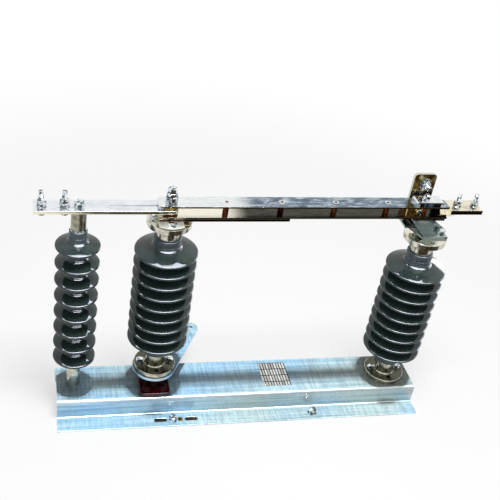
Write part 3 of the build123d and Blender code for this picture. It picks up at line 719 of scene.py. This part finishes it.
def plateRivets():
    # domed blind rivets at the corners of the rating plate
    size = {"dome": [(2.4, 0), (2.4, 0.3), (1.92, 0.96), (0.96, 1.2), (0, 1.2)], "inset": 4.5}
    low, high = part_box("rating_plate")
    mesh = bmesh.new()
    for x in (low.x / mm + size["inset"], high.x / mm - size["inset"]):
        for y in (low.y / mm + size["inset"], high.y / mm - size["inset"]):
            addTurned(mesh, size["dome"], steps=20, move=facing(x, y, high.z / mm))
    return finishPiece("rating_plate_rivets", mesh, "zinc", "frame", sharp=60)


def bladeRivets():
    # copper rivets over and under each spacer, their heads flush in a bright spun ring
    size = {"head": [(3.8, 0), (3.8, 0.5), (2.66, 0.9), (0, 0.9)], "inner": 4.0, "outer": 7.0, "high": 0.5}
    ends = ((heights("upper_blade_strap")[1], 0), (heights("lower_blade_strap")[0], 180))
    mesh = bmesh.new()
    rings = bmesh.new()
    for k in range(1, 5):
        low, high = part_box(f"blade_spacer_{k}")
        for height, tilt in ends:
            move = facing((low.x + high.x) / 2 / mm, 0, height, tilt)
            addTurned(mesh, size["head"], steps=24, move=move)
            addRing(rings, size["inner"], size["outer"], 0, size["high"], move)
    finishPiece("blade_rivet_rings", rings, "tin", "rotor")
    return finishPiece("blade_rivets", mesh, "rivet", "rotor", sharp=60)


def discSprings():
    # stack of disc springs under the hinge's washer, each cone turned against the next
    size = {"inner": 6.4, "outer": 14.0, "thick": 1.5, "cone": 0.7, "count": 5, "gap": 0.1}
    low, high = heights("hinge_springs")
    mesh = bmesh.new()
    for k in range(size["count"]):
        base = low + k * (high - low) / size["count"] + size["gap"]
        inside, outside = (base + size["cone"], base) if k % 2 else (base, base + size["cone"])
        addTurned(mesh, [(size["inner"], inside), (size["outer"], outside),
                         (size["outer"], outside + size["thick"]), (size["inner"], inside + size["thick"]),
                         (size["inner"], inside)], steps=48, move=facing(hingeX, 0, 0))
    piece = finishPiece("hinge_disc_springs", mesh, "zinc", "rotor")
    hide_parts("hinge_springs")
    return piece


def pressureBolt():
    # bolt that squeezes the blade: head below, then washer, nut and threaded end above
    size = dict(m10, washer=23, head=5.0, threadPastNut=3.6, shankEnd=0.4, spin=22)
    low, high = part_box("pressure_bolt")
    x = (low.x + high.x) / 2 / mm
    top = heights("upper_pressure_plate")[1]
    bottom = heights("lower_pressure_plate")[0]
    shank = size["thread"] / 2
    shankTop = top + size["shankEnd"]
    mesh = bmesh.new()
    addWasherAndNut(mesh, size, facing(x, 0, top), facing(x, 0, top, 0, size["spin"]))
    addThread(mesh, size["thread"], size["pitch"], gap["underThread"],
              size["washerThick"] + size["nut"] + size["threadPastNut"], facing(x, 0, top))
    addTurned(mesh, [(0, bottom), (shank, bottom), (shank, shankTop), (0, shankTop)], steps=32,
              move=facing(x, 0, 0))
    addHexagon(mesh, size["flats"], 0, size["head"], facing(x, 0, bottom, 180, size["spin"]))
    piece = finishPiece("pressure_bolt_and_nut", mesh, "zinc", "rotor")
    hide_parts("pressure_bolt")
    return piece


def stopBolt():
    # adjusting bolt of the blade's stop: large washers either side, nut and threaded end in front
    size = dict(m12, washer=30, washerThick=3.0, nut=8.0, threadFrom=-8.0, spin=10)
    low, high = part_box("stop_bolt")
    plateLow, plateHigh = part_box("stop_plate")
    x, z = (low.x + high.x) / 2 / mm, (low.z + high.z) / 2 / mm
    front, back = plateLow.y / mm, plateHigh.y / mm
    mesh = bmesh.new()
    toFront = facing(x, front, z, 90, size["spin"])
    toBack = facing(x, back, z, -90, size["spin"])
    addWasherAndNut(mesh, size, toFront, toFront)
    addThread(mesh, size["thread"], size["pitch"], size["threadFrom"], front - low.y / mm, toFront)
    addRing(mesh, size["hole"] / 2, size["washer"] / 2, 0, size["washerThick"], toBack)
    addHexagon(mesh, size["flats"], size["washerThick"], high.y / mm - back, toBack)
    piece = finishPiece("stop_bolt_and_nut", mesh, "zinc", "frame")
    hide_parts("stop_bolt")
    return piece


def endBlockScrews():
    # socket screws in the front and back faces of the blade's end block
    size = {"radius": 6.5, "high": 5.5, "edge": 0.7, "socket": 3.2, "deep": 3.5, "fromEnd": 13, "aboveMiddle": 4}
    low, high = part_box("blade_end_block")
    x = high.x / mm - size["fromEnd"]
    z = (low.z + high.z) / 2 / mm + size["aboveMiddle"]
    outline = [(size["radius"], 0), (size["radius"], size["high"] - size["edge"]),
               (size["radius"] - size["edge"], size["high"]), (size["socket"], size["high"]),
               (size["socket"], size["high"] - size["deep"]), (0, size["high"] - size["deep"])]
    mesh = bmesh.new()
    addTurned(mesh, outline, steps=40, move=facing(x, low.y / mm, z, 90))
    addTurned(mesh, outline, steps=40, move=facing(x, high.y / mm, z, -90))
    return finishPiece("end_block_screws", mesh, "zinc", "rotor")


made += [crimpRings(), earthEyelets(), plateRivets(), bladeRivets(), discSprings(), pressureBolt(), stopBolt(),
         endBlockScrews()]
print("fasteners made:", len(made))


# Camera at the photograph's viewing angle, in metres and degrees

view = {"place": (-0.5593, -1.5737, 1.5712), "yaw": 14.482, "pitch": 34.150, "roll": 7.766, "focalPixels": 835.9,
        "imagePixels": 500, "middlePixel": 200, "sensor": 36.0}
yaw, pitch, roll = (math.radians(view[key]) for key in ("yaw", "pitch", "roll"))
forward = Vector((math.sin(yaw) * math.cos(pitch), math.cos(yaw) * math.cos(pitch), -math.sin(pitch)))
levelRight = Vector((math.cos(yaw), -math.sin(yaw), 0))
levelUp = levelRight.cross(forward)
right = math.cos(roll) * levelRight + math.sin(roll) * levelUp
up = -math.sin(roll) * levelRight + math.cos(roll) * levelUp
camera = sceneObject("camera", bpy.data.cameras.new("camera"))
camera.matrix_world = Matrix((
    (right.x, up.x, -forward.x, view["place"][0]),
    (right.y, up.y, -forward.y, view["place"][1]),
    (right.z, up.z, -forward.z, view["place"][2]),
    (0, 0, 0, 1)))
camera.data.sensor_width = view["sensor"]
camera.data.lens = view["focalPixels"] / view["imagePixels"] * view["sensor"]
camera.data.shift_x = (view["imagePixels"] / 2 - view["middlePixel"]) / view["imagePixels"]
bpy.context.scene.camera = camera


# Studio: pale floor, white surroundings, soft lamps; in metres

def seenShare(tree):
    # 1 for what the camera sees, straight, in a reflection or through glass, else 0
    path = addNode(tree, "ShaderNodeLightPath")
    share = path.outputs["Is Camera Ray"]
    for ray in ("Is Glossy Ray", "Is Transmission Ray"):
        share = addNode(tree, "ShaderNodeMath", {"operation": "ADD", "use_clamp": True},
                        {0: share, 1: path.outputs[ray]})
    return share


def paleFloor():
    # painted studio floor: part paint near the object, so that it keeps the shadow, and plain white far out
    size = {"half": 14.0, "sunk": 0.0004, "keepShadowTo": 0.9, "whiteFrom": 2.2, "whiteShare": 0.6}
    material, tree, place = newMaterial("paleStudioPaint")
    far = addNode(tree, "ShaderNodeVectorMath", {"operation": "LENGTH"}, {0: place})
    fade = addNode(tree, "ShaderNodeMapRange",
                   {"interpolation_type": "SMOOTHSTEP", "From Min": size["keepShadowTo"],
                    "From Max": size["whiteFrom"], "To Min": size["whiteShare"]}, {"Value": far})
    share = addNode(tree, "ShaderNodeMath", {"operation": "MULTIPLY"}, {0: fade, 1: seenShare(tree)})
    paint = addNode(tree, "ShaderNodeBsdfPrincipled", {"Base Color": "#efefef", "Roughness": 0.7,
                                                       "Specular IOR Level": 0.2})
    white = addNode(tree, "ShaderNodeEmission", {"Color": "#ffffff", "Strength": 1.0})
    mix = addNode(tree, "ShaderNodeMixShader", {}, {0: share, 1: paint, 2: white})
    addNode(tree, "ShaderNodeOutputMaterial", {}, {"Surface": mix})
    mesh = bmesh.new()
    bmesh.ops.create_grid(mesh, x_segments=8, y_segments=8, size=size["half"])
    floor = sceneMesh("studioFloor", mesh, material)
    floor.location.z = -size["sunk"]


def surroundings():
    # white to the camera and in reflections, softer as fill light
    light = {"fill": 0.5}
    world = bpy.data.worlds.new("studio")
    bpy.context.scene.world = world
    world.use_nodes = True
    tree = world.node_tree
    tree.nodes.clear()
    share = seenShare(tree)
    white = addNode(tree, "ShaderNodeBackground", {"Color": "#ffffff", "Strength": 1.0})
    fill = addNode(tree, "ShaderNodeBackground", {"Color": "#ffffff", "Strength": light["fill"]})
    mix = addNode(tree, "ShaderNodeMixShader", {}, {0: share, 1: fill, 2: white})
    addNode(tree, "ShaderNodeOutputWorld", {}, {"Surface": mix})


def darkCard(name, corners, height):
    # a level card, matt brown with a faint mottle
    sizes = {"mottle": 200 * mm}
    material, tree, place = newMaterial(name + "MattCard")
    mottle = addNode(tree, "ShaderNodeTexNoise", {"Scale": 1 / sizes["mottle"], "Detail": 3.0}, {"Vector": place})
    tone = addNode(tree, "ShaderNodeValToRGB", {"stops": [(0.35, "#2b271f"), (0.65, "#5a5140")]}, {"Fac": mottle})
    shader = addNode(tree, "ShaderNodeBsdfDiffuse", {}, {"Color": tone})
    addNode(tree, "ShaderNodeOutputMaterial", {}, {"Surface": shader})
    mesh = bmesh.new()
    mesh.faces.new([mesh.verts.new((x, y, height)) for x, y in corners])
    card = sceneMesh(name, mesh, material)
    return card


def darkFlag():
    # lies in front and is seen only in reflections: it draws the dark edges
    size = {"corners": [(-0.5, -1.75), (1.3, -1.75), (1.3, -0.42), (-0.3, -0.42)], "height": 0.012}
    flag = darkCard("darkFlag", size["corners"], size["height"])
    flag.visible_camera = False
    flag.visible_diffuse = False
    flag.visible_shadow = False
    flag.visible_transmission = False


def paintedShadeUnderlay():
    # lies under the base: a dark card for painted shade, which the slots in its flanges show
    size = {"inset": 5 * mm, "height": -0.0002}
    low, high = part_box("base_channel")
    left, right, front, back = (low.x + size["inset"], high.x - size["inset"], low.y + size["inset"],
                                high.y - size["inset"])
    darkCard("paintedShadeUnderlay", [(left, front), (right, front), (right, back), (left, back)], size["height"])


def sheetSun():
    # light from straight above that shows on the galvanised sheet alone: the posts and the blade shade the web
    light = {"degrees": 4, "strength": 15.5, "colour": (0.76, 0.9, 1.0)}
    lamp = bpy.data.lights.new("sheetSun", "SUN")
    lamp.angle = math.radians(light["degrees"])
    lamp.energy = light["strength"]
    lamp.color = light["colour"]
    sheetOnly = bpy.data.collections.new("sheetOnly")
    sheetOnly.objects.link(nodes["base_channel"])
    sheetOnly.objects.link(nodes["crank_lever"])
    sceneObject("sheetSun", lamp).light_linking.receiver_collection = sheetOnly


def softLamp(name, place, target, width, height, watts):
    lamp = bpy.data.lights.new(name, "AREA")
    lamp.shape = "RECTANGLE"
    lamp.size = width
    lamp.size_y = height
    lamp.energy = watts
    holder = sceneObject(name, lamp)
    holder.location = place
    holder.rotation_mode = "QUATERNION"
    holder.rotation_quaternion = (Vector(target) - Vector(place)).to_track_quat("-Z", "Y")
    return holder


keyLamp = {"place": (0.1, -0.6, 2.9), "target": (0, 0, 0.3), "width": 1.1, "height": 0.8, "watts": 60}
# the reflections of these panels show in the rubber alone; radiance is watts over pi times the panel's area
panels = {
    "overheadPanel": {"place": (-0.1, 0.15, 3.0), "target": (-0.1, 0.15, 0.0), "width": 3.0, "height": 2.3,
                      "radiance": 22},
    "frontPanel": {"place": (0.6, -2.75, 3.0), "target": (0.6, -2.75, 0.0), "width": 5.2, "height": 3.5,
                   "radiance": 30},
    "rightPanel": {"place": (4.2, 1.6, 1.0), "target": (0.0, 0.0, 0.45), "width": 4.6, "height": 1.7,
                   "radiance": 9},
}
panelColour = (0.84, 0.87, 1.0)

paleFloor()
surroundings()
darkFlag()
paintedShadeUnderlay()
sheetSun()
softLamp("keyLamp", **keyLamp)
rubberOnly = bpy.data.collections.new("rubberOnly")
for piece in shedPieces:
    rubberOnly.objects.link(piece)
for name, panel in panels.items():
    watts = panel["radiance"] * math.pi * panel["width"] * panel["height"]
    holder = softLamp(name, panel["place"], panel["target"], panel["width"], panel["height"], watts)
    holder.data.color = panelColour
    holder.visible_diffuse = False
    holder.light_linking.receiver_collection = rubberOnly
bpy.context.scene.view_settings.view_transform = "Standard"
print("studio made")
